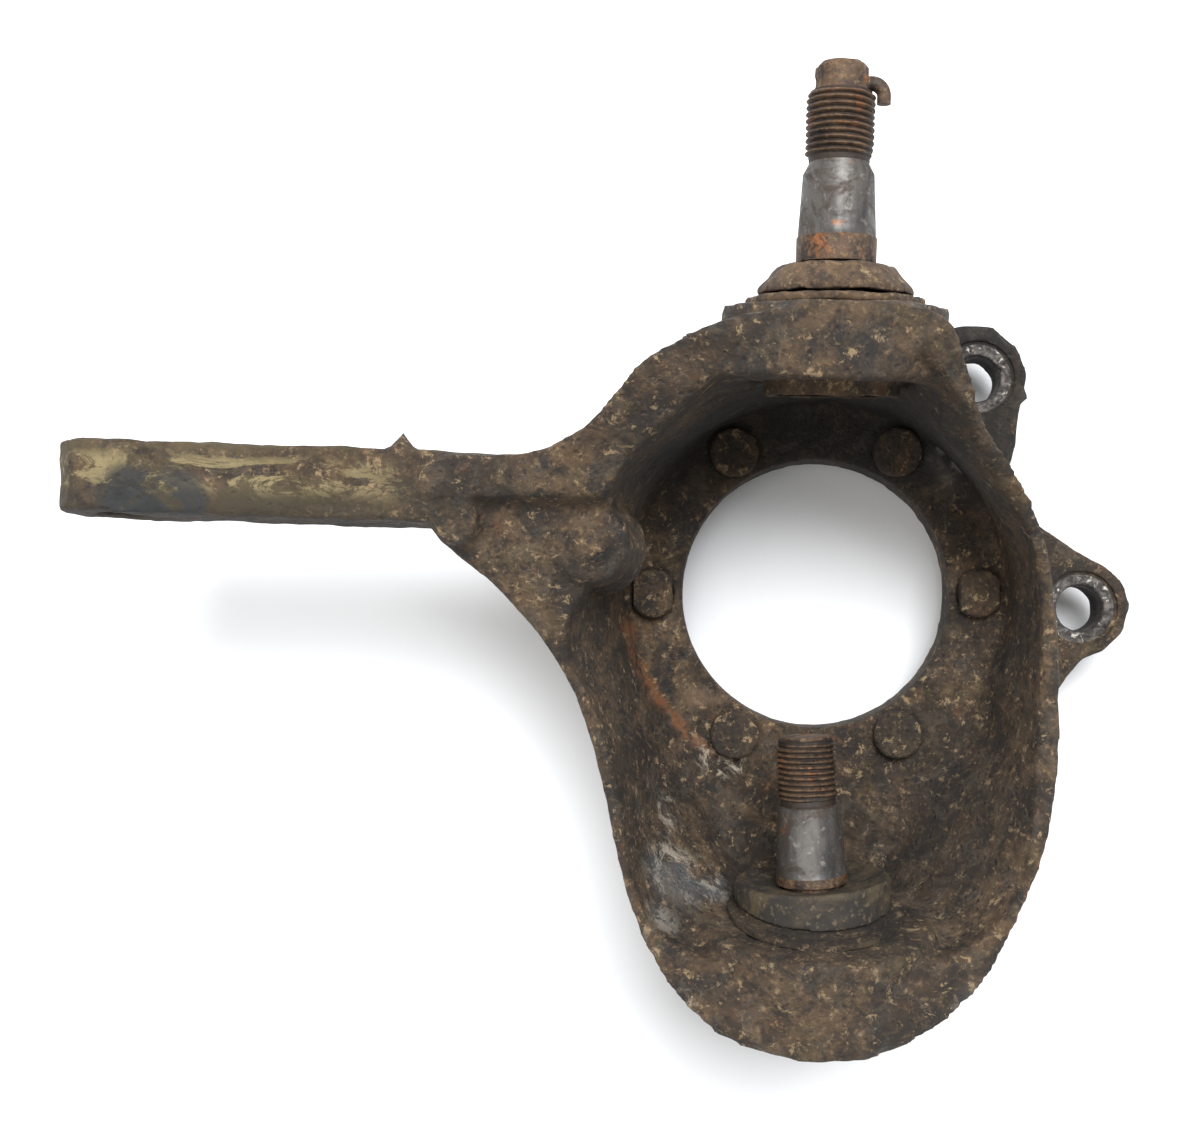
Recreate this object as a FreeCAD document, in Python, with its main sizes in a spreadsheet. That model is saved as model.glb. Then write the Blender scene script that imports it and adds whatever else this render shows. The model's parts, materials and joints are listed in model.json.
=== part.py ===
"""Steering knuckle of an open-knuckle driven front axle, with its ball joints and spindle studs.

Millimetres. The origin is the centre of the spindle bore on the outboard flange face.
+Z runs along the bore to the inboard side, +Y is up the kingpin, +X is the caliper side.
"""
import FreeCAD, Part
import math
import os

import Sketcher

V = FreeCAD.Vector
doc = FreeCAD.newDocument("steering_knuckle")
sheet = doc.addObject("Spreadsheet::Sheet", "sizes")

SIZES = [
    # spindle flange
    ("bore_radius", 38.5),
    ("flange_thickness", 12),
    ("flange_radius", 61),
    ("floor_radius", 54.5),
    # spindle studs
    ("stud_circle", 93),
    ("stud_count", 6),
    ("stud_head_radius", 7.1),
    ("stud_head_height", 4),
    ("stud_head_flat", 5.65),
    ("stud_knurl_radius", 5.8),
    ("stud_thread_radius", 5.55),
    ("stud_standout", 13),
    ("stud_hole_gap", 0.02),
    ("stud_seat_gap", 1.5),
    # bowl: how far its outline reaches from the bore's axis, and at which levels
    ("wall_foot_level", 2),
    ("wall_shoulder_level", 14),
    ("rim_level", 50),
    ("bowl_top", 110),
    ("rim_right", 59.6),
    ("rim_top", 60),
    ("rim_left", 99),
    ("rim_bottom", 110.4),
    # the crown: the upper arm that holds the upper ball joint, along the kingpin axis
    ("crown_underside", 50.4),
    ("crown_top", 60),
    # lower boss
    ("lower_boss_radius", 31.5),
    # steering arm
    ("arm_length", 171.5),
    ("arm_outer_y", 26.6),
    ("arm_half_thickness", 8.4),
    ("arm_root_y", 22.7),
    ("arm_root_half_thickness", 7.7),
    ("arm_level", 63.8),
    ("eye_radius", 13.4),
    ("tie_rod_hole_small", 6.3),
    ("tie_rod_hole_taper", 8),
    # caliper ears
    ("ear_thickness", 12),
    ("ear_hole_radius", 6.5),
    ("ear_spotface_radius", 11),
    ("ear_spotface_depth", 0.6),
    ("ear_hole_chamfer", 0.8),
    ("upper_ear_x", 46.5),
    ("upper_ear_y", 61.8),
    ("lower_ear_x", 76),
    ("lower_ear_y", -4.3),
    # steering stop and cast pad
    ("stop_x", -58.5),
    ("stop_y", 10.8),
    ("stop_base_radius", 9.5),
    ("stop_nub_radius", 5.4),
    ("stop_height", 14),
    ("pad_x", -88.9),
    ("pad_y", 15.3),
    ("pad_radius", 4.9),
    ("pad_height", 1.2),
    # kingpin axis
    ("kingpin_tilt", 10),
    ("kingpin_caster", 0.9),
    ("kingpin_level", 59.7),
    ("kingpin_side", -1.5),
    # threads and fits shared by both ball joints
    ("ball_gap", 0.06),
    ("seat_gap", 0.03),
    ("bearing_split", 0.3),
    ("seat_thickness", 1.8),
    ("spring_rise", 1),
    ("spring_hole_radius", 5),
    ("seat_room", 0.1),
    ("joint_thread_radius", 7.94),
    ("joint_taper", 8),
    # upper ball joint, along the kingpin axis from its ball's centre
    ("upper_station", 59.5),
    ("upper_lean", 0),
    ("upper_ball_radius", 11.5),
    ("upper_ball_cut", 6),
    ("upper_neck_radius", 6.5),
    ("upper_boss_radius", 26.5),
    ("upper_boss_top", 7),
    ("upper_boss_bottom", 9.8),
    ("upper_housing_radius", 19.6),
    ("upper_flange_radius", 21.2),
    ("upper_flange_height", 2.5),
    ("upper_crimp_radius", 16.3),
    ("upper_cup_radius", 15),
    ("upper_seat_depth", 7.2),
    ("upper_mouth", 6.2),
    ("upper_collar_radius", 9.4),
    ("upper_collar_bottom", 17.4),
    ("upper_taper_start", 23.1),
    ("upper_taper_length", 16.2),
    ("upper_thread_start", 40.3),
    ("upper_thread_length", 14.8),
    ("upper_nose_radius", 6.2),
    ("upper_tip", 61),
    ("upper_boot_radius", 18.5),
    ("upper_boot_neck", 14.3),
    # lower ball joint
    ("lower_station", -92),
    ("lower_lean", -10),
    ("lower_side_lean", -3.5),
    ("lower_ball_radius", 13),
    ("lower_ball_cut", 8),
    ("lower_neck_radius", 7.5),
    ("lower_boss_top", 7.8),
    ("lower_boss_bottom", 15.9),
    ("lower_housing_radius", 21.5),
    ("lower_neck_ring_radius", 19.8),
    ("lower_neck_ring_top", 10.6),
    ("lower_flange_radius", 24),
    ("lower_flange_height", 2),
    ("lower_cup_radius", 17),
    ("lower_seat_depth", 9.4),
    ("lower_collar_bottom", 15.2),
    ("lower_mouth", 7.4),
    ("lower_taper_start", 17.5),
    ("lower_taper_length", 17.5),
    ("lower_thread_start", 36.6),
    ("lower_thread_length", 15.3),
    ("lower_tip", 53),
    ("lower_boot_radius", 20.4),
    ("lower_boot_bottom", 8.2),
    ("lower_boot_top", 16.7),
    ("snap_ring_radius", 22.6),
    ("snap_ring_thickness", 1.5),
    # small parts
    ("cover_thickness", 1.4),
    ("spring_gauge", 0.8),
    ("fitting_radius", 3.2),
    ("fitting_length", 7.5),
    ("cotter_radius", 1.6),
    ("cotter_hole_gap", 0.15),
    ("cotter_depth", 4),
    ("boot_gap", 0.3),
]


class Size:
    """A length or an angle: its value now, and the formula that gives it from the sheet."""

    def __init__(self, value, formula):
        self.value = float(value)
        self.formula = formula

    def __add__(self, other):
        other = as_size(other)
        return Size(self.value + other.value, f"({self.formula} + {other.formula})")

    def __radd__(self, other):
        return as_size(other) + self

    def __sub__(self, other):
        other = as_size(other)
        return Size(self.value - other.value, f"({self.formula} - {other.formula})")

    def __rsub__(self, other):
        return as_size(other) - self

    def __mul__(self, other):
        other = as_size(other)
        return Size(self.value * other.value, f"({self.formula} * {other.formula})")

    def __rmul__(self, other):
        return as_size(other) * self

    def __truediv__(self, other):
        other = as_size(other)
        return Size(self.value / other.value, f"({self.formula} / {other.formula})")

    def __rtruediv__(self, other):
        return as_size(other) / self

    def __neg__(self):
        return Size(-self.value, f"(0 - {self.formula})")


def as_size(value):
    if isinstance(value, Size):
        return value
    return Size(value, f"({value})")


def leg(long_side, short_side):
    """The other leg of a right triangle, such as a ball's radius at a height."""
    long_side, short_side = as_size(long_side), as_size(short_side)
    value = math.sqrt(long_side.value**2 - short_side.value**2)
    return Size(value, f"sqrt({long_side.formula} ^ 2 - {short_side.formula} ^ 2)")


class Sheet:
    """The driving sizes by name."""


S = Sheet()
for row, (alias, value) in enumerate(SIZES, start=1):
    sheet.set(f"A{row}", alias.replace("_", " "))
    sheet.set(f"B{row}", str(value))
    sheet.setAlias(f"B{row}", alias)
doc.recompute()
for alias, value in SIZES:
    setattr(S, alias, Size(sheet.get(alias), f"sizes.{alias}"))


def bind(thing, prop, size):
    """Sets a property and ties it to the sheet."""
    size = as_size(size)
    setattr(thing, prop, size.value)
    thing.setExpression(prop, size.formula)


def new_body(label):
    body = doc.addObject("PartDesign::Body", label)
    body.Label = label
    return body


def plane(body, role):
    return next(f for f in body.Origin.OriginFeatures if f.Role == role)


def new_sketch(body, name, role="XY_Plane", level=None):
    """A sketch on one of the body's own planes, raised to a level along the plane's normal."""
    sketch = body.newObject("Sketcher::SketchObject", name)
    sketch.AttachmentSupport = [(plane(body, role), "")]
    sketch.MapMode = "FlatFace"
    if level is not None:
        level = as_size(level)
        sketch.AttachmentOffset = FreeCAD.Placement(V(0, 0, level.value), FreeCAD.Rotation())
        sketch.setExpression("AttachmentOffset.Base.z", level.formula)
    return sketch


def pin_point(sketch, geometry, end, x, y, kinds=("DistanceX", "DistanceY")):
    """Holds a point of the sketch at x, y from the sketch's origin."""
    for kind, size in zip(("DistanceX", "DistanceY"), (as_size(x), as_size(y))):
        if kind not in kinds:
            continue
        if size.formula == "(0)":
            axis = -2 if kind == "DistanceX" else -1
            sketch.addConstraint(Sketcher.Constraint("PointOnObject", geometry, end, axis))
            continue
        index = sketch.addConstraint(Sketcher.Constraint(kind, -1, 1, geometry, end, size.value))
        sketch.setExpression(f"Constraints[{index}]", size.formula)


def draw_outline(sketch, corners):
    """A closed outline of straight runs and arcs, with every corner tied to the sheet.

    A corner is (x, y), or (x, y, radius) where the run that leads to it is an arc of that radius
    about the sketch's origin.
    """
    corners = [tuple(as_size(v) for v in corner) for corner in corners]
    first = sketch.GeometryCount
    count = len(corners)
    for i, corner in enumerate(corners):
        after = corners[(i + 1) % count]
        start = V(corner[0].value, corner[1].value, 0)
        end = V(after[0].value, after[1].value, 0)
        if len(after) == 3:
            radius = after[2].value
            a, b = math.atan2(start.y, start.x), math.atan2(end.y, end.x)
            middle = V(radius * math.cos((a + b) / 2), radius * math.sin((a + b) / 2), 0)
            ends = (start, end) if b > a else (end, start)
            sketch.addGeometry(Part.Arc(ends[0], middle, ends[1]), False)
        else:
            sketch.addGeometry(Part.LineSegment(start, end), False)
    for i, corner in enumerate(corners):
        geometry = sketch.Geometry[first + i]
        start = V(corner[0].value, corner[1].value, 0)
        begins = geometry.StartPoint.distanceToPoint(start) < 1e-6
        before = (i - 1) % count
        leads_in = sketch.Geometry[first + before]
        ends = leads_in.EndPoint.distanceToPoint(start) < 1e-6
        sketch.addConstraint(
            Sketcher.Constraint("Coincident", first + before, 2 if ends else 1, first + i, 1 if begins else 2)
        )
        held = ("DistanceY",) if len(corner) == 3 else ("DistanceX", "DistanceY")
        pin_point(sketch, first + i, 1 if begins else 2, corner[0], corner[1], held)
        if len(corners[(i + 1) % count]) == 3:
            sketch.addConstraint(Sketcher.Constraint("Coincident", first + i, 3, -1, 1))


def draw_circle(sketch, radius, x=0, y=0):
    radius, x, y = as_size(radius), as_size(x), as_size(y)
    index = sketch.addGeometry(Part.Circle(V(x.value, y.value, 0), V(0, 0, 1), radius.value), False)
    held = sketch.addConstraint(Sketcher.Constraint("Radius", index, radius.value))
    sketch.setExpression(f"Constraints[{held}]", radius.formula)
    pin_point(sketch, index, 3, x, y)


def turned(body, name, corners):
    """A solid of revolution about the body's Z axis. Corners are (radius, height)."""
    sketch = new_sketch(body, name + "_profile", "XZ_Plane")
    draw_outline(sketch, corners)
    feature = body.newObject("PartDesign::Revolution", name)
    feature.Profile = sketch
    feature.ReferenceAxis = (sketch, ["V_Axis"])
    feature.Angle = 360
    return feature


def padded(body, name, sketch, length, midplane=False):
    feature = body.newObject("PartDesign::Pad", name)
    feature.Profile = sketch
    bind(feature, "Length", length)
    feature.Midplane = midplane
    return feature


def pocketed(body, name, sketch, length, reverse=False, midplane=False):
    feature = body.newObject("PartDesign::Pocket", name)
    feature.Profile = sketch
    bind(feature, "Length", length)
    feature.Reversed = reverse
    feature.Midplane = midplane
    return feature


def spot(x, y, z):
    x, y, z = as_size(x), as_size(y), as_size(z)
    return f"create(<<vector>>; {x.formula}; {y.formula}; {z.formula})"


def turn(axis, angle):
    return f"create(<<rotation>>; create(<<vector>>; {axis}); {as_size(angle).formula})"


def place(thing, formula):
    thing.setExpression("Placement", formula)


KINGPIN_TURN = turn("0; 0; 1", -S.kingpin_caster) + " * " + turn("1; 0; 0", S.kingpin_tilt - 90)


def on_kingpin(station, lean=None):
    """A frame on the kingpin axis at a distance along it, leaned in two directions if asked."""
    station = as_size(station)
    run = f"{station.formula} * cos(sizes.kingpin_tilt)"
    x = f"sizes.kingpin_side + {run} * sin(sizes.kingpin_caster)"
    y = f"{run} * cos(sizes.kingpin_caster)"
    z = f"sizes.kingpin_level + {station.formula} * sin(sizes.kingpin_tilt)"
    turned_by = KINGPIN_TURN
    if lean is not None:
        turned_by += " * " + turn("1; 0; 0", lean[0]) + " * " + turn("0; 1; 0", lean[1])
    return f"create(<<placement>>; create(<<vector>>; {x}; {y}; {z}); {turned_by})"


def at(x, y, z, rotation=None):
    return f"create(<<placement>>; {spot(x, y, z)}; {rotation or turn('0; 0; 1', 0)})"


def cylinder(name, radius, height, placement):
    solid = doc.addObject("Part::Cylinder", name)
    bind(solid, "Radius", radius)
    bind(solid, "Height", height)
    place(solid, placement)
    return solid


def cone(name, radius_below, radius_above, height, placement):
    solid = doc.addObject("Part::Cone", name)
    bind(solid, "Radius1", radius_below)
    bind(solid, "Radius2", radius_above)
    bind(solid, "Height", height)
    place(solid, placement)
    return solid


def joined(name, things):
    solid = doc.addObject("Part::MultiFuse", name)
    solid.Shapes = things
    return solid


def shared(name, first, second):
    solid = doc.addObject("Part::Common", name)
    solid.Base = first
    solid.Tool = second
    return solid


def without(name, base, tool):
    solid = doc.addObject("Part::Cut", name)
    solid.Base = base
    solid.Tool = tool
    return solid


def skin(name, shape):
    """A cast surface that is a free form rather than a sketch."""
    solid = doc.addObject("Part::Feature", name)
    solid.Shape = shape
    return solid


def smooth_loop(points, level):
    curve = Part.BSplineCurve()
    curve.interpolate(Points=[V(x, y, level) for x, y in points], PeriodicFlag=True)
    return Part.Wire(curve.toShape())


def lofted(loops):
    return Part.makeLoft(loops, True, True)


def slab(corners, depth, level=0.0):
    corners = [V(x, y, level) for x, y in corners]
    return Part.Face(Part.makePolygon(corners + corners[:1])).extrude(V(0, 0, depth))


# Bowl of the casting: the outline of its rim seen along the bore
right = S.rim_right.value / 59.6
top = S.rim_top.value / 60
left = S.rim_left.value / 99
bottom = S.rim_bottom.value / 110.4


def reach(points):
    """Stretches an outline to the bowl's four reaches."""
    return [(x * (right if x > 0 else left), y * (top if y > 0 else bottom)) for x, y in points]


RIM = reach([
    (59.6, -25.5), (58.5, -2.5), (53.3, 15.1), (39, 31.1), (28.5, 43), (22, 56), (0, 60), (-26, 57),
    (-36, 53), (-45, 48.5), (-54.3, 39.5), (-63.8, 33.4), (-77, 30.6), (-92, 29.5), (-99, 23),
    (-96, 14), (-84.2, 3), (-70.9, -12.4), (-63, -27.2), (-54.7, -57.2), (-46.9, -83.1),
    (-31.5, -102), (-1.6, -110.8), (25.5, -102), (44, -83.1), (57.8, -45.4),
])
HOLLOW = reach([
    (56.2, -25.5), (55.4, -2.5), (50.3, 13.5), (36.5, 28), (26, 40), (16, 50), (0, 52), (-18, 50.5),
    (-27, 47), (-35, 40.8), (-41, 36), (-46.5, 31.8), (-50.5, 27), (-53.5, 22), (-55.5, 16),
    (-56, 10), (-57.5, 4), (-64.5, -9), (-60.5, -27), (-52, -57.5), (-44, -81.5),
    (-28, -90), (-1.6, -91), (23, -90), (40.5, -81.5), (54, -45),
])
TONGUE = reach([(-44, -42), (-34, -58), (-22, -76), (-1.6, -85), (19, -76), (32, -56), (48, -36)])


def ring_like(points, radius):
    """A circle with one point in the direction of each point of an outline."""
    return [(radius * x / math.hypot(x, y), radius * y / math.hypot(x, y)) for x, y in points]


def swelled(points, outline, share_above, share_below):
    """Moves a loop towards the outline, by one share above the bore and by another at the lower boss."""
    moved = []
    for (a, b), (c, d) in zip(points, outline):
        low_share = min(1, max(0, (-30 - d) / 40))
        share = share_above + (share_below - share_above) * low_share
        moved.append((a * (1 - share) + c * share, b * (1 - share) + d * share))
    return moved


foot = ring_like(RIM, S.flange_radius.value - 0.8)
bowl_outside = skin("bowl_outside", lofted([
    smooth_loop(swelled(foot, RIM, 0, 0.45), S.wall_foot_level.value),
    smooth_loop(swelled(foot, RIM, 0.5, 0.97), S.wall_shoulder_level.value),
    smooth_loop(RIM, S.rim_level.value),
    smooth_loop(RIM, S.bowl_top.value),
]))

floor = ring_like(HOLLOW, S.floor_radius.value)
low = swelled(floor, HOLLOW, 0.12, 0.12)[:-len(TONGUE)] + TONGUE
bowl_inside = skin("bowl_inside", lofted([
    smooth_loop(floor, S.flange_thickness.value),
    smooth_loop(low, S.flange_thickness.value + 7),
    smooth_loop(HOLLOW, S.rim_level.value + 8),
    smooth_loop(HOLLOW, S.bowl_top.value + 10),
]))

# The rim's height, on the right and on the left
ALONG = [-125, -101, -83, -57, -40, -25, -2, 8, 14, 19.5, 21.5, 30, 42, 54, 75]
HIGH_RIGHT = [72, 72, 62, 56, 51, 48, 47, 49.5, 52, 57, 59, 71, 92, 97, 99]
HIGH_LEFT = [72, 71, 63, 57, 57, 58.5, 65, 67.5, 69, 70, 77, 78, 85, 95, 98]


def height_profile(x, heights):
    points = [V(x, y, z) for y, z in zip(ALONG, heights)]
    points += [V(x, ALONG[-1], -10), V(x, ALONG[0], -10)]
    return Part.makePolygon(points + points[:1])


under_rim = skin("under_rim", Part.makeLoft([
    height_profile(-130, HIGH_LEFT), height_profile(-70, HIGH_LEFT),
    height_profile(60, HIGH_RIGHT), height_profile(90, HIGH_RIGHT),
], True, True))

bowl_block = shared("bowl_block", bowl_outside, under_rim)

# Spindle flange
flange = new_body("flange")
turned(flange, "flange_disc", [
    (0, 0), (S.flange_radius - 1.2, 0), (S.flange_radius, 1.2), (S.flange_radius, S.flange_thickness - 1.5),
    (S.flange_radius - 1.5, S.flange_thickness), (0, S.flange_thickness),
])
shell = without("shell", joined("bowl_and_flange", [bowl_block, flange]), bowl_inside)

# Crown and upper boss, along the kingpin axis. In its frame +Y points to the flange
CROWN = [
    (-12, -26.2), (12, -26.2), (20, -20), (24.5, -10), (25.5, 8), (27, 30), (28, 58),
    (-37, 58), (-38, 40), (-37.5, 22), (-36, 6), (-34.6, -10), (-28, -22),
]
crown = skin("crown", slab(CROWN, S.crown_top.value - S.crown_underside.value))
place(crown, on_kingpin(S.crown_underside))
upper_boss = cylinder(
    "upper_boss", S.upper_boss_radius, S.upper_boss_top + S.upper_boss_bottom,
    on_kingpin(S.upper_station - S.upper_boss_bottom),
)
lower_boss = cylinder(
    "lower_boss", S.lower_boss_radius, S.lower_boss_top + S.lower_boss_bottom,
    on_kingpin(S.lower_station - S.lower_boss_bottom),
)

# Steering arm: its outline from the inboard side, within its outline from above
arm_plan = new_body("arm_plan")
sketch = new_sketch(arm_plan, "arm_plan_sketch")
draw_outline(sketch, [
    (-S.arm_length - 20, S.arm_outer_y - S.arm_half_thickness),
    (-70, S.arm_root_y - S.arm_root_half_thickness - 0.4),
    (-70, S.arm_root_y + S.arm_root_half_thickness + 1),
    (-S.arm_length - 20, S.arm_outer_y + S.arm_half_thickness),
])
padded(arm_plan, "arm_plan_pad", sketch, 120)

arm_side = new_body("arm_side")
sketch = new_sketch(arm_side, "arm_side_sketch", "XZ_Plane")
draw_outline(sketch, [
    (-S.arm_length, S.arm_level - S.eye_radius), (-S.arm_length + 10, S.arm_level - S.eye_radius + 1.5),
    (-100, S.arm_level - 14), (-74, S.arm_level - 26), (-60, S.arm_level - 30), (-60, S.arm_level + 1),
    (-78, S.arm_level + 6), (-95, S.arm_level + 11), (-110, S.arm_level + 12),
    (-S.arm_length + 10, S.arm_level + S.eye_radius - 1),
    (-S.arm_length, S.arm_level + S.eye_radius),
])
padded(arm_side, "arm_side_pad", sketch, 120, midplane=True)
eye = cylinder(
    "eye", S.eye_radius, 60, at(-S.arm_length, 60, S.arm_level, turn("1; 0; 0", 90)),
)
arm = shared("arm", arm_plan, joined("arm_side_and_eye", [arm_side, eye]))

# Caliper ears
EAR_UPPER = [
    (28, 50), (32, 69), (36.5, 75), (43, 77.4), (51, 76.6), (58, 71), (61, 63), (58.8, 53),
    (57.5, 42), (50, 20),
]
EAR_LOWER = [
    (50, 30), (64.4, 19.7), (74.5, 12.6), (83, 8.2), (88.5, 3), (90.4, -3.5), (88.5, -11), (83, -16.5),
    (76.5, -18.6), (71.6, -24.8), (62, -40), (45, -40),
]
ear_upper = skin("ear_upper", slab(EAR_UPPER, S.ear_thickness.value))
ear_lower = skin("ear_lower", slab(EAR_LOWER, S.ear_thickness.value))

# Steering stop and cast pad
stop = new_body("stop")
turned(stop, "stop_form", [
    (0, -14), (S.stop_base_radius + 3, -14), (S.stop_base_radius + 0.6, 0),
    (S.stop_base_radius, S.stop_height - 5), (S.stop_base_radius - 1.4, S.stop_height - 3.6),
    (S.stop_nub_radius + 0.6, S.stop_height - 4), (S.stop_nub_radius, S.stop_height - 2.4),
    (S.stop_nub_radius - 1.6, S.stop_height - 0.6), (0, S.stop_height),
])
place(stop, at(S.stop_x, S.stop_y, 58))
pad = cylinder("pad", S.pad_radius, 20 + S.pad_height, at(S.pad_x, S.pad_y, 54))

rough = joined("rough", [shell, crown, upper_boss, lower_boss, arm, ear_upper, ear_lower, stop, pad])

# Holes and machined faces
bore = cylinder("bore", S.bore_radius, S.flange_thickness + 28, at(0, 0, -10))
STUDS = range(1, int(S.stud_count.value) + 1)


def on_stud_circle(number, level):
    """A frame at one stud, turned so that its X points away from the bore."""
    angle = f"360 * {number - 1} / sizes.stud_count"
    x = f"sizes.stud_circle / 2 * cos({angle})"
    y = f"sizes.stud_circle / 2 * sin({angle})"
    spin = f"create(<<rotation>>; create(<<vector>>; 0; 0; 1); {angle})"
    return f"create(<<placement>>; create(<<vector>>; {x}; {y}; {as_size(level).formula}); {spin})"


stud_holes = []
for number in STUDS:
    stud_holes += [
        cylinder(
            f"stud_hole_{number}", S.stud_knurl_radius + S.stud_hole_gap, S.flange_thickness + 10,
            on_stud_circle(number, -5),
        ),
        cylinder(
            f"stud_seat_{number}", S.stud_head_radius + S.stud_seat_gap, S.stud_head_height + 2,
            on_stud_circle(number, S.flange_thickness + S.stud_hole_gap),
        ),
    ]
upper_press = cylinder(
    "upper_press", S.upper_housing_radius, S.upper_boss_top + S.upper_boss_bottom + 8,
    on_kingpin(S.upper_station - S.upper_boss_bottom - 6),
)
upper_room = cylinder(
    "upper_room", S.upper_flange_radius + 4, 30, on_kingpin(S.upper_station + S.upper_boss_top),
)
lower_press = cylinder(
    "lower_press", S.lower_housing_radius, S.lower_boss_top + S.lower_boss_bottom + 20,
    on_kingpin(S.lower_station - S.lower_boss_bottom - 10),
)
lower_room = cylinder(
    "lower_room", S.lower_boss_radius + 8, 16, on_kingpin(S.lower_station - S.lower_boss_bottom - 16),
)
tie_rod_hole = cone(
    "tie_rod_hole", S.tie_rod_hole_small + 30 / (2 * S.tie_rod_hole_taper),
    S.tie_rod_hole_small - 30 / (2 * S.tie_rod_hole_taper), 60,
    at(-S.arm_length, S.arm_outer_y + 30, S.arm_level, turn("1; 0; 0", 90)),
)
ear_tools = []
for name, x, y in (("upper_ear", S.upper_ear_x, S.upper_ear_y), ("lower_ear", S.lower_ear_x, S.lower_ear_y)):
    ear_tools += [
        cylinder(name + "_hole", S.ear_hole_radius, 40, at(x, y, -10)),
        cylinder(
            name + "_spotface", S.ear_spotface_radius, 8, at(x, y, S.ear_thickness - S.ear_spotface_depth),
        ),
        cone(
            name + "_mouth", S.ear_hole_radius, S.ear_hole_radius + 2 * S.ear_hole_chamfer,
            2 * S.ear_hole_chamfer,
            at(x, y, S.ear_thickness - S.ear_spotface_depth - S.ear_hole_chamfer),
        ),
    ]
machining = joined(
    "machining",
    [bore, upper_press, upper_room, lower_press, lower_room, tie_rod_hole] + stud_holes + ear_tools,
)
knuckle_casting = without("knuckle_casting", rough, machining)

# Six spindle studs, pressed in from the inboard side. The two on the level line have flats
STUD = [
    (0, S.flange_thickness + S.stud_head_height),
    (S.stud_head_radius - 0.8, S.flange_thickness + S.stud_head_height),
    (S.stud_head_radius, S.flange_thickness + S.stud_head_height - 0.8),
    (S.stud_head_radius, S.flange_thickness + 0.02),
    (S.stud_knurl_radius, S.flange_thickness + 0.02), (S.stud_knurl_radius, 2),
    (S.stud_thread_radius - 0.6, 1.2),
    (S.stud_thread_radius - 0.6, -1), (S.stud_thread_radius, -1.6),
    (S.stud_thread_radius, 1 - S.stud_standout),
    (S.stud_thread_radius - 1, -S.stud_standout), (0, -S.stud_standout),
]
studs = []
for number in STUDS:
    stud = new_body(f"spindle_stud_{number}")
    turned(stud, f"stud_form_{number}", STUD)
    if number in (1, 4):
        sketch = new_sketch(stud, f"stud_flats_{number}", "XY_Plane", S.flange_thickness + 0.02)
        draw_outline(sketch, [(S.stud_head_flat, -10), (12, -10), (12, 10), (S.stud_head_flat, 10)])
        draw_outline(sketch, [(-12, -10), (-S.stud_head_flat, -10), (-S.stud_head_flat, 10), (-12, 10)])
        pocketed(stud, f"stud_flat_cut_{number}", sketch, 8, reverse=True)
    place(stud, on_stud_circle(number, 0))
    studs.append(stud)

# Upper ball joint
upper_place = on_kingpin(S.upper_station)
upper_stud_place = on_kingpin(S.upper_station, (S.upper_lean, as_size(0)))
shell_radius = S.upper_ball_radius + S.ball_gap
crimp = S.upper_boss_bottom + 3.6
upper_joint_housing = new_body("upper_joint_housing")
turned(upper_joint_housing, "upper_housing_form", [
    (S.upper_mouth + 4.8, S.upper_boss_top + S.upper_flange_height),
    (S.upper_mouth + 3.7, S.upper_mouth), (S.upper_cup_radius, S.upper_mouth),
    (S.upper_cup_radius, 1 - crimp), (S.upper_cup_radius - 1.5, 1 - crimp),
    (S.upper_cup_radius - 1.5, -crimp),
    (S.upper_crimp_radius, -crimp), (S.upper_crimp_radius, -S.upper_boss_bottom),
    (S.upper_housing_radius, -S.upper_boss_bottom), (S.upper_housing_radius, S.upper_boss_top),
    (S.upper_flange_radius, S.upper_boss_top + 0.02),
    (S.upper_flange_radius, S.upper_boss_top + S.upper_flange_height - 0.6),
    (S.upper_flange_radius - 0.6, S.upper_boss_top + S.upper_flange_height),
])
place(upper_joint_housing, upper_place)

parts = {"knuckle_casting": knuckle_casting, "upper_joint_housing": upper_joint_housing}
for number, stud in enumerate(studs, start=1):
    parts[f"spindle_stud_{number}"] = stud


def piece(name, corners, placement):
    body = new_body(name)
    turned(body, name + "_form", corners)
    place(body, placement)
    parts[name] = body
    return body


def bearing_cap(name, ball, cup, mouth, placement):
    """The hard ring that holds the ball down, above its equator."""
    top_level = mouth - S.seat_gap
    outer = cup - S.seat_gap
    split = S.bearing_split
    piece(name, [
        (leg(ball, split), split, ball), (outer, split), (outer, top_level),
        (leg(ball, top_level), top_level),
    ], placement)


def bearing_seat(name, ball, cup, depth, placement):
    """The ring under the ball, pushed up by the spring."""
    outer = cup - S.seat_gap
    split = S.bearing_split
    bottom = -depth - S.seat_thickness
    piece(name, [
        (leg(ball, depth), bottom), (outer, bottom), (outer, -split), (leg(ball, split), -split),
        (leg(ball, depth), -depth, ball),
    ], placement)


def dished_washer(name, cup, seat_depth, placement):
    """The spring under the seat."""
    outer = cup - S.spring_rise
    top_level = -seat_depth - S.seat_thickness - S.seat_room
    foot = top_level - S.spring_gauge
    piece(name, [
        (S.spring_hole_radius, top_level), (S.spring_hole_radius, foot), (outer, foot - S.spring_rise),
        (outer, top_level - S.spring_rise),
    ], placement)


bearing_cap("upper_bearing_cap", shell_radius, S.upper_cup_radius, S.upper_mouth, upper_place)
bearing_seat("upper_bearing_seat", shell_radius, S.upper_cup_radius, S.upper_seat_depth, upper_place)
dished_washer("upper_preload_spring", S.upper_cup_radius, S.upper_seat_depth, upper_place)
piece("upper_cover_plate", [
    (0, 1.02 - crimp), (S.upper_cup_radius - S.seat_gap, 1.02 - crimp),
    (S.upper_cup_radius - S.seat_gap, 1.02 - crimp + S.cover_thickness),
    (0, 1.02 - crimp + S.cover_thickness),
], upper_place)


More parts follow.
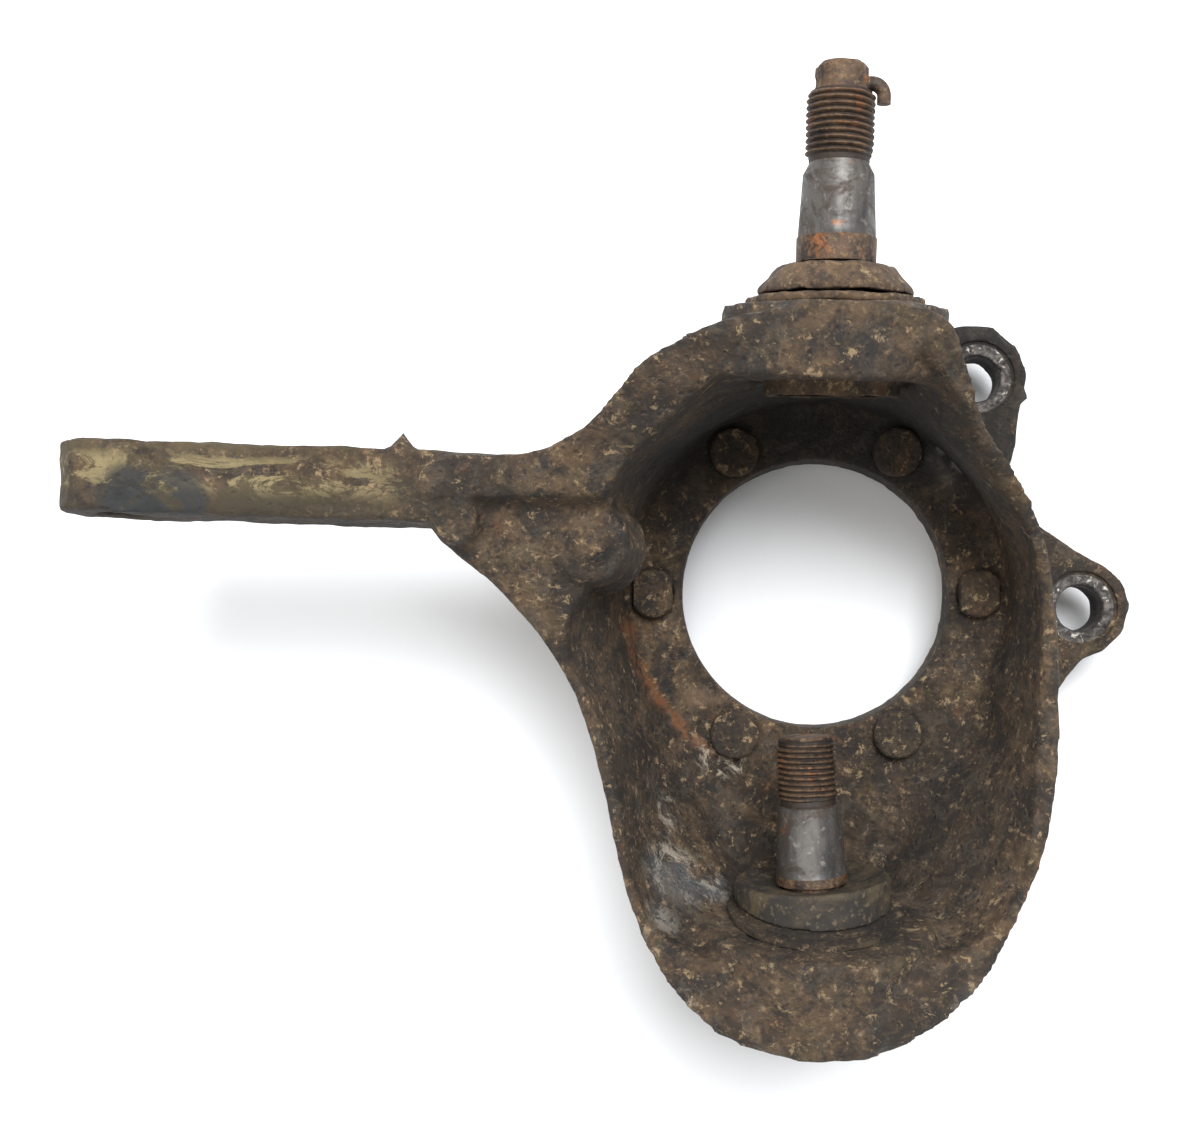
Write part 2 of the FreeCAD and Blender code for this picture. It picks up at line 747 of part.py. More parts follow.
def stud_outline(
    ball, cut, neck, collar_level, collar, taper_start, taper_length, thread_start, thread, nose, tip,
):
    """A ball stud from its ball's flat to its tip."""
    taper_big = S.joint_thread_radius + 1.2
    taper_small = taper_big - taper_length / (2 * S.joint_taper)
    return [
        (0, -cut), (leg(ball, cut), -cut), (neck, leg(ball, neck), ball), (neck, collar_level),
        (collar, collar_level), (collar, taper_start - 0.2), (taper_big, taper_start),
        (taper_small, taper_start + taper_length),
        (S.joint_thread_radius - 0.9, taper_start + taper_length + 0.4),
        (S.joint_thread_radius - 0.9, thread_start), (S.joint_thread_radius, thread_start + 0.8),
        (S.joint_thread_radius, thread_start + thread - 1.2), (nose, thread_start + thread),
        (nose, tip - 1), (nose - 1, tip), (0, tip),
    ]


upper_ball_stud = piece("upper_ball_stud", stud_outline(
    S.upper_ball_radius, S.upper_ball_cut, S.upper_neck_radius, S.upper_collar_bottom, S.upper_collar_radius,
    S.upper_taper_start, S.upper_taper_length, S.upper_thread_start, S.upper_thread_length,
    S.upper_nose_radius, S.upper_tip,
), upper_stud_place)
sketch = new_sketch(upper_ball_stud, "cotter_hole_sketch", "YZ_Plane")
draw_circle(sketch, S.cotter_radius + S.cotter_hole_gap, 0, S.upper_tip - S.cotter_depth)
pocketed(upper_ball_stud, "cotter_hole", sketch, 30, midplane=True)

# Stub of the broken cotter pin in the upper stud's hole
upper_cotter_pin = new_body("upper_cotter_pin")
path = new_sketch(upper_cotter_pin, "cotter_path", "XZ_Plane")
level = S.upper_tip - S.cotter_depth
path.addGeometry(Part.LineSegment(V(-5, level.value, 0), V(7.0, level.value, 0)), False)
elbow = [V(7, level.value, 0), V(8.98, level.value - 0.82, 0), V(9.8, level.value - 2.8, 0)]
path.addGeometry(Part.Arc(*elbow), False)
path.addGeometry(Part.LineSegment(V(9.8, level.value - 2.8, 0), V(9.8, level.value - 4.4, 0)), False)
pin_point(path, 0, 1, -5, level)
pin_point(path, 0, 2, 7, level)
path.addConstraint(Sketcher.Constraint("Coincident", 0, 2, 1, 2))
path.addConstraint(Sketcher.Constraint("Coincident", 1, 1, 2, 1))
pin_point(path, 2, 1, 9.8, level - 2.8)
pin_point(path, 2, 2, 9.8, level - 4.4)
ring = new_sketch(upper_cotter_pin, "cotter_section", "YZ_Plane", -5)
draw_circle(ring, S.cotter_radius, 0, level)
wire = upper_cotter_pin.newObject("PartDesign::AdditivePipe", "cotter_wire")
wire.Profile = ring
wire.Spine = path
wire.Sections = []
place(upper_cotter_pin, upper_stud_place)
parts["upper_cotter_pin"] = upper_cotter_pin

boot_bottom = S.upper_boss_top + S.upper_flange_height + S.boot_gap
piece("upper_boot", [
    (S.upper_boot_radius - 2.2, boot_bottom), (S.upper_boot_radius, boot_bottom),
    (S.upper_boot_radius, boot_bottom + 1.6), (S.upper_boot_neck, 16.2), (S.upper_boot_neck - 0.8, 16.8),
    (S.upper_neck_radius + S.boot_gap, 16.8), (S.upper_neck_radius + S.boot_gap, 14.9),
    (S.upper_boot_neck - 2.4, 14.9), (S.upper_boot_radius - 2.2, boot_bottom + 1.4),
], upper_stud_place)

# Lower ball joint, pressed in from below
lower_place = on_kingpin(S.lower_station)
lower_stud_place = on_kingpin(S.lower_station, (S.lower_lean, S.lower_side_lean))
shell_radius = S.lower_ball_radius + S.ball_gap
cover_level = -S.lower_boss_bottom + 1.1
piece("lower_joint_housing", [
    (S.lower_mouth + 4.9, S.lower_neck_ring_top), (S.lower_mouth + 3.7, S.lower_mouth),
    (S.lower_cup_radius, S.lower_mouth), (S.lower_cup_radius, cover_level),
    (S.lower_cup_radius - 1.5, cover_level),
    (S.lower_cup_radius - 1.5, -S.lower_boss_bottom - S.lower_flange_height),
    (S.lower_flange_radius, -S.lower_boss_bottom - S.lower_flange_height),
    (S.lower_flange_radius, -S.lower_boss_bottom - 0.02),
    (S.lower_housing_radius, -S.lower_boss_bottom - 0.02),
    (S.lower_housing_radius, S.lower_boss_top - 0.02),
    (S.lower_neck_ring_radius - 0.8, S.lower_boss_top - 0.02),
    (S.lower_neck_ring_radius - 0.8, S.lower_boss_top + S.snap_ring_thickness + 0.1),
    (S.lower_neck_ring_radius, S.lower_boss_top + S.snap_ring_thickness + 0.1),
    (S.lower_neck_ring_radius, S.lower_neck_ring_top),
], lower_place)
bearing_cap("lower_bearing_cap", shell_radius, S.lower_cup_radius, S.lower_mouth, lower_place)
bearing_seat("lower_bearing_seat", shell_radius, S.lower_cup_radius, S.lower_seat_depth, lower_place)
dished_washer("lower_preload_spring", S.lower_cup_radius, S.lower_seat_depth, lower_place)
piece("lower_cover_plate", [
    (2.02, cover_level + 0.02), (S.lower_cup_radius - S.seat_gap, cover_level + 0.02),
    (S.lower_cup_radius - S.seat_gap, cover_level + S.cover_thickness),
    (2.02, cover_level + S.cover_thickness),
], lower_place)
fitting_foot = cover_level - 0.2
fitting_tip = fitting_foot - S.fitting_length
lower_grease_fitting = piece("lower_grease_fitting", [
    (0, cover_level + S.cover_thickness - 0.3), (2, cover_level + S.cover_thickness - 0.3),
    (2, fitting_foot),
    (S.fitting_radius * 1.1547, fitting_foot), (S.fitting_radius * 1.1547, fitting_foot - 3.4),
    (2.2, fitting_foot - 3.6), (1.9, fitting_foot - 4.6), (2.6, fitting_foot - 5.6), (2.6, fitting_tip + 1),
    (1.6, fitting_tip), (0, fitting_tip),
], lower_place)
for number in range(3):
    sketch = new_sketch(lower_grease_fitting, f"fitting_hex_{number}", "XY_Plane", fitting_foot + 0.1)
    draw_outline(sketch, [(S.fitting_radius, -4), (6, -4), (6, 4), (S.fitting_radius, 4)])
    draw_outline(sketch, [(-6, -4), (-S.fitting_radius, -4), (-S.fitting_radius, 4), (-6, 4)])
    sketch.AttachmentOffset = FreeCAD.Placement(
        sketch.AttachmentOffset.Base, FreeCAD.Rotation(V(0, 0, 1), 60 * number)
    )
    sketch.setExpression("AttachmentOffset.Base.z", (fitting_foot + 0.1).formula)
    pocketed(lower_grease_fitting, f"fitting_flat_{number}", sketch, 3.6)
piece("lower_ball_stud", stud_outline(
    S.lower_ball_radius, S.lower_ball_cut, S.lower_neck_radius, S.lower_collar_bottom,
    S.joint_thread_radius + 1.3,
    S.lower_taper_start, S.lower_taper_length, S.lower_thread_start, S.lower_thread_length,
    S.joint_thread_radius - 0.8, S.lower_tip,
), lower_stud_place)

# Lower boot: a thick dished disc, seated on the housing while it leans with the stud
lower_boot_disc = new_body("lower_boot_disc")
turned(lower_boot_disc, "lower_boot_form", [
    (17, 6.5), (S.lower_boot_radius - 0.6, 6.5), (S.lower_boot_radius, 7.1),
    (S.lower_boot_radius, S.lower_boot_top - 1),
    (S.lower_boot_radius - 0.7, S.lower_boot_top), (S.lower_boot_radius - 1.5, S.lower_boot_top - 0.4),
    (14, 14.6), (S.lower_neck_radius + S.boot_gap, 14.3), (S.lower_neck_radius + S.boot_gap, 12.1),
    (17, 12.1),
])
place(lower_boot_disc, lower_stud_place)
lower_boot_seat = cylinder(
    "lower_boot_seat", 40, 24, on_kingpin(S.lower_station + S.lower_neck_ring_top + S.boot_gap - 24),
)
lower_boot = without("lower_boot", lower_boot_disc, lower_boot_seat)
parts["lower_boot"] = lower_boot

# Snap ring round the lower housing's neck, open towards the bore
snap_ring = new_body("lower_snap_ring")
turned(snap_ring, "snap_ring_form", [
    (S.lower_neck_ring_radius - 0.75, S.lower_boss_top + 0.03),
    (S.snap_ring_radius, S.lower_boss_top + 0.03),
    (S.snap_ring_radius, S.lower_boss_top + S.snap_ring_thickness),
    (S.lower_neck_ring_radius - 0.75, S.lower_boss_top + S.snap_ring_thickness),
])
sketch = new_sketch(snap_ring, "snap_ring_gap_sketch", "XY_Plane", S.lower_boss_top - 1)
draw_outline(sketch, [(-4, 10), (4, 10), (4, 30), (-4, 30)])
pocketed(snap_ring, "snap_ring_gap", sketch, 5, reverse=True)
place(snap_ring, lower_place)
parts["lower_snap_ring"] = snap_ring

doc.recompute()
broken = [o.Label for o in doc.Objects if "Invalid" in o.State or "Error" in o.State]
if broken:
    raise RuntimeError("not built: " + ", ".join(broken))
os.makedirs("parts", exist_ok=True)
for name, thing in parts.items():
    thing.Label = name
    shape = thing.Shape
    if shape.isNull() or not shape.isValid() or len(shape.Solids) != 1:
        raise RuntimeError(f"{name} is not one valid solid")
    shape.exportStep(f"parts/{name}.step")
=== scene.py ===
"""Looks of the steering knuckle: rusted casting, caked dirt, worn ball studs and rubber boots."""

import json
import math
from collections import namedtuple

import bmesh
import bpy
from mathutils import Matrix, Vector, noise


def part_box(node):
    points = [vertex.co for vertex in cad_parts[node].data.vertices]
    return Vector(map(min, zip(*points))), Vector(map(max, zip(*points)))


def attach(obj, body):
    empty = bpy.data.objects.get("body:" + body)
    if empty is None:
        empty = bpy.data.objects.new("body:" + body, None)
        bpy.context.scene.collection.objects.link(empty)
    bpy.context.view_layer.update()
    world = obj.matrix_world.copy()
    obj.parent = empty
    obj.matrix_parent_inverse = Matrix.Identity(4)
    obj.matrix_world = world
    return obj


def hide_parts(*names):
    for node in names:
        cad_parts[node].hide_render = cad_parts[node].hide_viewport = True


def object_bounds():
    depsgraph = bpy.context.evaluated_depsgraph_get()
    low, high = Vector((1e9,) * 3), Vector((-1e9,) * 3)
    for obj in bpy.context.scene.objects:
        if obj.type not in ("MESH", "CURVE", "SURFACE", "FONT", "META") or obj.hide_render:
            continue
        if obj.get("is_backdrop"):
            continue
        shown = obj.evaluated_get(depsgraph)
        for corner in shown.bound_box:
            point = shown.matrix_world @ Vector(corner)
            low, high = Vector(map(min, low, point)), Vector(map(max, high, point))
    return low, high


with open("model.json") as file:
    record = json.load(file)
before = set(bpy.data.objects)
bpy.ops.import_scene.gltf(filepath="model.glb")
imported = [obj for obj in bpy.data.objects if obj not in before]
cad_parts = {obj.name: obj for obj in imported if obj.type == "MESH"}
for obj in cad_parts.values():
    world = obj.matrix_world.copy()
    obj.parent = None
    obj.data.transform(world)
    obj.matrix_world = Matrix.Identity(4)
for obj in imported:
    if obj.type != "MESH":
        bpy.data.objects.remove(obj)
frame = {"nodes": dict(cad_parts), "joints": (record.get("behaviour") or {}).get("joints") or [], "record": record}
nodes = frame["nodes"]


def all_boxes():
    return {name: [list(corner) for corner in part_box(name)] for name in nodes}


MM = 0.001
sizes = {"nodes": all_boxes()}


# Colours, as the eye sees them, turned to linear light
def tone(code):
    values = [int(code[i:i + 2], 16) / 255 for i in (0, 2, 4)]
    return tuple(v / 12.92 if v <= 0.04045 else ((v + 0.055) / 1.055) ** 2.4 for v in values) + (1.0,)


class Paint:
    """A procedural material on the object's own coordinates."""

    def __init__(self, name, rough=0.8, metal=0.0):
        self.material = bpy.data.materials.new(name)
        self.material.use_nodes = True
        self.tree = self.material.node_tree
        self.shader = self.tree.nodes["Principled BSDF"]
        self.shader.inputs["Roughness"].default_value = rough
        self.shader.inputs["Metallic"].default_value = metal
        self.where = self.tree.nodes.new("ShaderNodeTexCoord").outputs["Object"]
        self.geometry = self.tree.nodes.new("ShaderNodeNewGeometry")

    def link(self, source, target):
        self.tree.links.new(source, target)

    def noise(self, scale, detail=6, rough=0.6, warp=0.0, offset=0.0, stretch=None):
        """Noise from 0 to 1 whose grain is about 1/scale of a metre."""
        mapping = self.tree.nodes.new("ShaderNodeMapping")
        self.link(self.where, mapping.inputs["Vector"])
        mapping.inputs["Location"].default_value = (offset, offset * 0.7, offset * 1.3)
        if stretch:
            mapping.inputs["Scale"].default_value = stretch
        texture = self.tree.nodes.new("ShaderNodeTexNoise")
        texture.inputs["Scale"].default_value = scale
        texture.inputs["Detail"].default_value = detail
        texture.inputs["Roughness"].default_value = rough
        texture.inputs["Distortion"].default_value = warp
        self.link(mapping.outputs["Vector"], texture.inputs["Vector"])
        return texture.outputs["Fac"]

    def cells(self, scale, offset=0.0):
        mapping = self.tree.nodes.new("ShaderNodeMapping")
        self.link(self.where, mapping.inputs["Vector"])
        mapping.inputs["Location"].default_value = (offset, offset, offset)
        texture = self.tree.nodes.new("ShaderNodeTexVoronoi")
        texture.inputs["Scale"].default_value = scale
        self.link(mapping.outputs["Vector"], texture.inputs["Vector"])
        return texture.outputs["Distance"]

    def ramp(self, value, low, high):
        """0 below low, 1 above high."""
        node = self.tree.nodes.new("ShaderNodeMapRange")
        node.interpolation_type = "SMOOTHSTEP"
        node.inputs["From Min"].default_value = low
        node.inputs["From Max"].default_value = high
        self.link(value, node.inputs["Value"])
        return node.outputs["Result"]

    def math(self, operation, first, second):
        node = self.tree.nodes.new("ShaderNodeMath")
        node.operation = operation
        for socket, value in zip(node.inputs, (first, second)):
            if isinstance(value, (int, float)):
                socket.default_value = value
            else:
                self.link(value, socket)
        return node.outputs["Value"]

    def inverse(self, share):
        return self.math("SUBTRACT", 1.0, share)

    def mix(self, share, first, second):
        node = self.tree.nodes.new("ShaderNodeMix")
        node.data_type = "RGBA"
        self.set(node.inputs[0], share)
        self.set(node.inputs[6], first)
        self.set(node.inputs[7], second)
        return node.outputs[2]

    def blend(self, share, first, second):
        node = self.tree.nodes.new("ShaderNodeMix")
        self.set(node.inputs[0], share)
        self.set(node.inputs[2], first)
        self.set(node.inputs[3], second)
        return node.outputs[0]

    def set(self, socket, value):
        if isinstance(value, (int, float)):
            socket.default_value = value
        elif isinstance(value, tuple):
            socket.default_value = value
        else:
            self.link(value, socket)

    def axis(self, index):
        node = self.tree.nodes.new("ShaderNodeSeparateXYZ")
        self.link(self.where, node.inputs["Vector"])
        return node.outputs[index]

    def near(self, centre, inner, outer):
        """1 within inner of a point in millimetres, 0 beyond outer."""
        node = self.tree.nodes.new("ShaderNodeVectorMath")
        node.operation = "DISTANCE"
        self.link(self.where, node.inputs[0])
        node.inputs[1].default_value = tuple(v * MM for v in centre)
        return self.inverse(self.ramp(node.outputs["Value"], inner * MM, outer * MM))

    def off_line(self, origin, direction):
        """Distance from a line, in metres."""
        away = self.tree.nodes.new("ShaderNodeVectorMath")
        away.operation = "SUBTRACT"
        self.link(self.where, away.inputs[0])
        away.inputs[1].default_value = origin
        cross = self.tree.nodes.new("ShaderNodeVectorMath")
        cross.operation = "CROSS_PRODUCT"
        self.link(away.outputs["Vector"], cross.inputs[0])
        cross.inputs[1].default_value = direction
        length = self.tree.nodes.new("ShaderNodeVectorMath")
        length.operation = "LENGTH"
        self.link(cross.outputs["Vector"], length.inputs[0])
        return length.outputs["Value"]

    def band(self, value, low, high, soft):
        """1 between two values, fading over soft on either side."""
        up = self.ramp(value, low - soft, low + soft)
        down = self.ramp(value, high - soft, high + soft)
        return self.math("SUBTRACT", up, down)

    def all_of(self, *shares):
        total = shares[0]
        for share in shares[1:]:
            total = self.math("MULTIPLY", total, share)
        return total

    def facing(self, index):
        node = self.tree.nodes.new("ShaderNodeSeparateXYZ")
        self.link(self.geometry.outputs["Normal"], node.inputs["Vector"])
        return node.outputs[index]

    def bump(self, heights, strength=1.0):
        """Heights in metres, added together."""
        total = heights[0]
        for height in heights[1:]:
            total = self.math("ADD", total, height)
        node = self.tree.nodes.new("ShaderNodeBump")
        node.inputs["Strength"].default_value = strength
        node.inputs["Distance"].default_value = 1.0
        self.link(total, node.inputs["Height"])
        self.link(node.outputs["Normal"], self.shader.inputs["Normal"])

    def colour(self, value):
        self.set(self.shader.inputs["Base Color"], value)

    def roughness(self, value):
        self.set(self.shader.inputs["Roughness"], value)


Grime = namedtuple("Grime", "base mid fine dirt flat pits")


def grime(p, darker="140f0b", lighter="54422f", amount=1.0):
    """Dark brown rust with pale grain, khaki dirt on what faces up, rust blooms and pits."""
    broad = p.noise(24, 4, 0.55, 0.4)
    mid = p.noise(140, 9, 0.72, 0.5, 3.0)
    fine = p.noise(620, 7, 0.75, 0, 7.0)
    flat = p.ramp(p.facing(2), -0.1, 0.8)
    base = p.mix(p.ramp(mid, 0.36, 0.62), tone(darker), tone(lighter))
    base = p.mix(p.all_of(p.ramp(broad, 0.46, 0.62), 0.6), base, tone("241b14"))
    base = p.mix(p.all_of(p.ramp(fine, 0.52, 0.66), 0.5 * amount), base, tone("8c7354"))
    bloom = p.ramp(p.noise(80, 9, 0.74, 0.8, 11.0), 0.58, 0.7)
    base = p.mix(p.all_of(bloom, 0.5 * amount), base, tone("6e4326"))
    dirt = p.ramp(p.noise(50, 9, 0.7, 0.7, 19.0), 0.52, 0.66)
    base = p.mix(p.all_of(dirt, flat, 0.45 * amount), base, tone("6b5a3e"))
    grit = p.ramp(p.noise(380, 9, 0.8, 0, 23.0), 0.6, 0.68)
    base = p.mix(p.all_of(grit, flat, 0.5 * amount), base, tone("a18c6c"))
    shade = p.ramp(p.noise(55, 8, 0.7, 0.6, 29.0), 0.46, 0.6)
    base = p.mix(p.all_of(shade, 0.7), base, tone("0d0906"))
    speck = p.ramp(p.noise(300, 8, 0.75, 0.3, 37.0), 0.57, 0.63)
    base = p.mix(p.all_of(speck, 0.6 * amount), base, tone("a58d6a"))
    pits = p.inverse(p.ramp(p.cells(420, 5.0), 0.0, 0.35))
    base = p.mix(p.all_of(pits, 0.5), base, tone("120d0a"))
    return Grime(base, mid, fine, dirt, flat, pits)


def machined_rings(p, base):
    """The turned faces round the two caliper holes: dark steel with bright scratches."""
    faces, walls = None, None
    for x, y in EAR_HOLES:
        away = p.off_line((x, y, 0), (0, 0, 1))
        face = p.inverse(p.ramp(away, RING_RADIUS - 0.0004, RING_RADIUS))
        wall = p.inverse(p.ramp(away, EAR_HOLE_RADIUS + 0.0002, EAR_HOLE_RADIUS + 0.0008))
        faces = face if faces is None else p.math("MAXIMUM", faces, face)
        walls = wall if walls is None else p.math("MAXIMUM", walls, wall)
    level = p.all_of(faces, p.ramp(p.axis(2), 0.004, 0.010))
    scratch = p.noise(420, 8, 0.75, 0.5, 51.0)
    steel = p.mix(p.ramp(scratch, 0.4, 0.66), tone("2a2624"), tone("77716b"))
    steel = p.mix(p.ramp(p.noise(300, 6, 0.6, 2.0, 57.0), 0.6, 0.64), steel, tone("c4beb4"))
    base = p.mix(level, base, steel)
    return p.mix(walls, base, tone("2b2522")), level


# Where the pale scale sits: centre and reach in millimetres
PALE_SCALE = [
    ((-37.7, -72, 45), 13), ((-46, -86, 55), 10), ((34, -102, 64), 11), ((-34, -101, 64), 9),
    ((-27, -46, 14), 9), ((-38, -58, 34), 9), ((-22, -48, 14), 6), ((-30, -76, 38), 9),
]


def crown_shadow(p, base):
    """Painted shade under the crown, near-black and patchy with oily grime, and painted shade in a corner of the
    bowl's floor.
    """
    # Painted shade: near-black where the crown's underside shades the bowl, its strength varied by patches that
    # are partly oily grime.
    below = p.all_of(p.ramp(p.axis(1), 0.016, 0.04), p.inverse(p.ramp(p.axis(2), 0.045, 0.068)))
    oil_and_shade_patches = p.ramp(p.noise(40, 6, 0.6, 0.5, 83.0), 0.3, 0.55)
    oil_and_shade_share = p.math("ADD", p.math("MULTIPLY", oil_and_shade_patches, 0.35), 0.6)
    base = p.mix(p.all_of(below, oil_and_shade_share), base, tone("040302"))
    # Painted shade: a darker patch in a corner of the bowl's floor.
    return p.mix(p.all_of(p.near((30, -66, 30), 14, 34), 0.45), base, tone("120d09"))


def orange_rust(p, base, mid):
    """Fresh rust where the bowl's left wall meets its floor, and along its right edge."""
    x, y, z = (p.axis(i) for i in range(3))
    off_bore = p.off_line((0, 0, 0), (0, 0, 1))
    foot = p.all_of(
        p.band(off_bore, 0.0526, 0.0558, 0.001), p.inverse(p.ramp(x, -0.034, -0.026)),
        p.inverse(p.ramp(z, 0.022, 0.03)), p.band(y, -0.046, -0.006, 0.005), p.ramp(mid, 0.42, 0.55),
    )
    edge = p.all_of(
        p.band(y, -0.084, -0.052, 0.004), p.ramp(x, 0.034, 0.040), p.ramp(z, 0.035, 0.045),
        p.ramp(mid, 0.45, 0.6), p.ramp(p.facing(0), 0.35, 0.65),
    )
    base = p.mix(p.all_of(foot, 0.6), base, tone("704320"))
    return p.mix(p.all_of(edge, 0.5), base, tone("7c4c26"))


def pale_scale(p, base):
    """Pale flaking scale in a few places, with blue-grey between the flakes."""
    here = None
    for centre, radius in PALE_SCALE:
        spot = p.near(centre, radius * 0.35, radius)
        here = spot if here is None else p.math("MAXIMUM", here, spot)
    grain = p.ramp(p.noise(150, 9, 0.78, 0.6, 41.0), 0.5, 0.58)
    share = p.math("ADD", p.math("MULTIPLY", here, 0.85), 0.06)
    base = p.mix(p.all_of(grain, share), base, tone("a59a89"))
    stain = p.ramp(p.noise(30, 5, 0.6, 0.4, 97.0), 0.5, 0.62)
    return p.mix(p.all_of(here, stain, 0.5), base, tone("5d6266"))


def arm_crust(p, base, skin):
    """Khaki crust along the steering arm, flaky on its crest, painted shade along its lower side, and a bare grey
    patch near its end.
    """
    arm = p.inverse(p.ramp(p.axis(0), -0.125, -0.088))
    centre_line = p.math("SUBTRACT", 0.0199, p.math("MULTIPLY", p.axis(0), 0.039))
    above = p.math("SUBTRACT", p.axis(1), centre_line)
    crust = p.ramp(p.noise(75, 9, 0.74, 0.9, 27.0, (0.35, 1, 1)), 0.42, 0.54)
    base = p.mix(p.all_of(arm, crust, skin.flat, 0.75), base, tone("524831"))
    flakes = p.ramp(p.noise(130, 9, 0.78, 0.8, 61.0, (0.4, 1, 1)), 0.5, 0.56)
    crest = p.band(above, -0.0035, 0.0045, 0.002)
    base = p.mix(p.all_of(arm, flakes, skin.flat, crest, 0.85), base, tone("92845f"))
    # Painted shade: the arm's side below its centre line is darkened, where the light from above doesn't fall.
    base = p.mix(p.all_of(arm, p.inverse(p.ramp(above, -0.006, -0.001)), 0.5), base, tone("17120c"))
    bare = p.math("MAXIMUM", p.near((-164, 21.5, 77), 5, 9), p.near((-153, 20.5, 76), 5, 9))
    return p.mix(p.all_of(bare, p.ramp(skin.mid, 0.4, 0.48), 0.85), base, tone("26292b"))


def casting_paint():
    p = Paint("rusted_casting", 0.85)
    skin = grime(p)
    base = crown_shadow(p, skin.base)
    base = orange_rust(p, base, skin.mid)
    base = pale_scale(p, base)
    base = arm_crust(p, base, skin)
    base, level = machined_rings(p, base)
    p.colour(base)
    p.roughness(p.blend(level, p.blend(skin.mid, 0.65, 0.95), 0.4))
    p.bump([
        p.all_of(skin.mid, 0.0012), p.all_of(skin.fine, 0.0007), p.all_of(skin.pits, -0.0005),
        p.all_of(skin.dirt, 0.0005),
    ], 0.9)
    return p.material


def caked(name, darker, lighter, amount=1.0):
    """Rust and dirt of the smaller parts."""
    p = Paint(name, 0.85)
    skin = grime(p, darker, lighter, amount)
    p.colour(skin.base)
    p.roughness(p.blend(skin.mid, 0.7, 0.95))
    p.bump([p.all_of(skin.mid, 0.0008), p.all_of(skin.fine, 0.0005), p.all_of(skin.pits, -0.0004)], 0.9)
    return p.material


def rusty_steel(name, dark, light, orange, amount=0.5, metal=0.3, rough=0.6):
    p = Paint(name, rough, metal)
    mid = p.noise(160, 8, 0.68, 0.5, 2.0)
    fine = p.noise(800, 5, 0.65, 0, 9.0)
    base = p.mix(p.ramp(mid, 0.36, 0.64), tone(dark), tone(light))
    rust = p.math("MULTIPLY", p.ramp(p.noise(210, 8, 0.7, 0.8, 13.0), 0.5, 0.62), amount)
    base = p.mix(rust, base, tone(orange))
    p.colour(base)
    p.roughness(p.blend(mid, rough - 0.1, min(1.0, rough + 0.25)))
    p.bump([p.math("MULTIPLY", mid, 0.0005), p.math("MULTIPLY", fine, 0.00025)], 0.7)
    return p.material


def threaded_steel(name, origin, direction):
    """Rust on the thread and the nose of a ball stud, dark in the thread's roots."""
    p = Paint(name, 0.6, 0.25)
    away = p.off_line(origin, direction)
    mid = p.noise(170, 8, 0.68, 0.5, 2.0)
    fine = p.noise(900, 5, 0.7, 0, 9.0)
    base = p.mix(p.ramp(mid, 0.36, 0.62), tone("231913"), tone("57422f"))
    base = p.mix(p.all_of(p.ramp(fine, 0.5, 0.64), 0.5), base, tone("80664a"))
    bloom = p.all_of(p.ramp(p.noise(110, 7, 0.66, 0.6, 13.0), 0.54, 0.62), p.ramp(fine, 0.4, 0.55))
    base = p.mix(p.all_of(bloom, 0.65), base, tone("8a5226"))
    root = p.band(away, MINOR - 0.0006, MINOR + 0.0003, 0.00015)
    base = p.mix(p.all_of(root, 0.85), base, tone("17110e"))
    p.colour(base)
    p.roughness(p.blend(mid, 0.45, 0.85))
    p.bump([p.all_of(mid, 0.0004), p.all_of(fine, 0.0003)], 0.8)
    return p.material


def bare_steel(name):
    """The tapers' bright steel, streaked round and stained."""
    p = Paint(name, 0.45, 0.35)
    streak = p.noise(150, 8, 0.7, 0.2, 5.0, (1, 0.25, 1))
    stain = p.noise(130, 9, 0.75, 0.8, 15.0)
    base = p.mix(p.ramp(streak, 0.35, 0.65), tone("2c2b2b"), tone("56524e"))
    base = p.mix(p.all_of(p.ramp(p.noise(500, 6, 0.7, 0.3, 45.0), 0.56, 0.66), 0.5), base, tone("8a867f"))
    base = p.mix(p.all_of(p.ramp(stain, 0.48, 0.6), 0.8), base, tone("3a2f27"))
    base = p.mix(p.all_of(p.ramp(p.noise(160, 8, 0.7, 0.6, 33.0), 0.62, 0.68), 0.7), base, tone("7a4a22"))
    p.colour(base)
    p.roughness(p.blend(p.ramp(stain, 0.4, 0.65), 0.4, 0.75))
    p.bump([p.all_of(stain, 0.00018)], 0.6)
    return p.material


def rubber(name, dark, dust):
    p = Paint(name, 0.8)
    mid = p.noise(90, 8, 0.65, 0.5, 4.0)
    fine = p.noise(600, 5, 0.6, 0, 8.0)
    base = p.mix(p.ramp(mid, 0.42, 0.62), tone(dark), tone(dust))
    base = p.mix(p.math("MULTIPLY", p.ramp(fine, 0.55, 0.7), 0.35), base, tone("8a7a60"))
    p.colour(base)
    p.bump([p.math("MULTIPLY", mid, 0.0005), p.math("MULTIPLY", fine, 0.0002)], 0.6)
    return p.material


# Sizes shared by the looks and the worn forms, from the frame where it states them
MOUNTS = {mount["name"]: mount for mount in frame["record"]["mounts"]}
BORE_RADIUS = MOUNTS["spindle_bore"]["dims"]["r_mm"] * MM
FLANGE_TOP = MOUNTS["spindle_bore"]["dims"]["length_mm"] * MM
EAR_HOLES = [tuple(mount["pos_m"][:2]) for name, mount in MOUNTS.items() if name.startswith("caliper_hole")]
EAR_HOLE_RADIUS = MOUNTS["caliper_hole_upper"]["dims"]["r_mm"] * MM
RING_RADIUS = 0.0100
SPOTFACE_RADIUS = 0.0108
SPOTFACE_DEPTH = 0.0007
PITCH = 0.0254 / 18
MAJOR = 0.00794
MINOR = MAJOR - 0.62 * PITCH


def axis_of(joint_name):
    joint = next(j for j in frame["joints"] if j["name"] == joint_name)
    return Vector(joint["pos_m"]), Vector(joint["axis"]).normalized()


